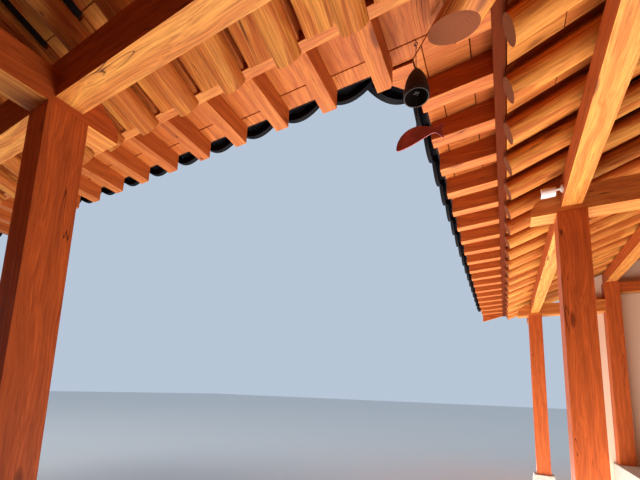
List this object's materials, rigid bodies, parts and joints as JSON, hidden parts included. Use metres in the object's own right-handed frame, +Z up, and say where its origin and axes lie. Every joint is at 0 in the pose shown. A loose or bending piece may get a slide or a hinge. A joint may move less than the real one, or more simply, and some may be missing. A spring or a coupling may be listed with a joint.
{
  "type": "hanok",
  "caption": "L-shaped timber house with open galleries on square posts, round and square eave rafters, a black tiled roof with a valley, plastered outer walls and a hanging wind bell.",
  "frame": {"origin": "centre of the building's bounding box at ground level", "axes": "+Z up, +Y along the right wing away from the corner, +X from the court towards the right wing's back"},
  "size_m": [11.5264, 11.2804, 4.3103],
  "materials": {
    "stone": "rough cut granite",
    "timber": "oiled, orange-red, matt",
    "pale_timber": "oiled, lighter, matt",
    "plaster": "smooth, warm, matt",
    "tile": "fired clay, blue-black, matt",
    "bell_iron": "blackened",
    "fish_copper": "dull red-brown",
    "camera_shell": "white, matt"
  },
  "bodies": {
    "house": {"back_frame": "timber", "bell_hook": "bell_iron", "corner_base_stone": "stone", "corner_cross_beam": "pale_timber", "corner_inner_post": "timber", "corner_post": "timber", "eave_camera": "camera_shell", "hip_cap": "tile", "hip_rafter": "timber", "left_back_rafters": "pale_timber", "left_back_tiles": "tile", "left_base_stone_1": "stone", "left_base_stone_2": "stone", "left_court_rafters": "pale_timber", "left_court_tiles": "tile", "left_cross_beam_1": "pale_timber", "left_cross_beam_2": "pale_timber", "left_eave_purlin": "timber", "left_flying_rafters": "pale_timber", "left_gable_board": "timber", "left_inner_beam": "timber", "left_inner_post_1": "timber", "left_inner_post_2": "timber", "left_outer_wall": "plaster", "left_post_1": "timber", "left_post_2": "timber", "left_ridge_cap": "tile", "left_tie_beam_1": "pale_timber", "left_tie_beam_2": "pale_timber", "right_back_rafters": "pale_timber", "right_back_tiles": "tile", "right_base_stone_1": "stone", "right_base_stone_2": "stone", "right_court_rafters": "pale_timber", "right_court_tiles": "tile", "right_cross_beam_1": "pale_timber", "right_cross_beam_2": "pale_timber", "right_eave_purlin": "timber", "right_flying_rafters": "pale_timber", "right_gable_board": "timber", "right_inner_beam": "timber", "right_inner_post_1": "timber", "right_inner_post_2": "timber", "right_outer_wall": "plaster", "right_post_1": "timber", "right_post_2": "timber", "right_ridge_cap": "tile", "right_tie_beam_1": "pale_timber", "right_tie_beam_2": "pale_timber", "roof_frame": "timber", "stone_terrace": "stone", "valley_rafter": "pale_timber"},
    "bell": {"wind_bell": "bell_iron"},
    "clapper": {"fish_plate": "fish_copper"}
  },
  "joints": [
    {"name": "bell_swing", "type": "hinge", "parent": "house", "child": "bell", "pos_m": [0.7231, -0.6501, 3.029], "axis": [1, 0, 0], "range_deg": [-25, 25]},
    {"name": "clapper_swing", "type": "hinge", "parent": "bell", "child": "clapper", "pos_m": [0.7231, -0.6501, 2.86], "axis": [1, 0, 0], "range_deg": [-12, 12]}
  ]
}
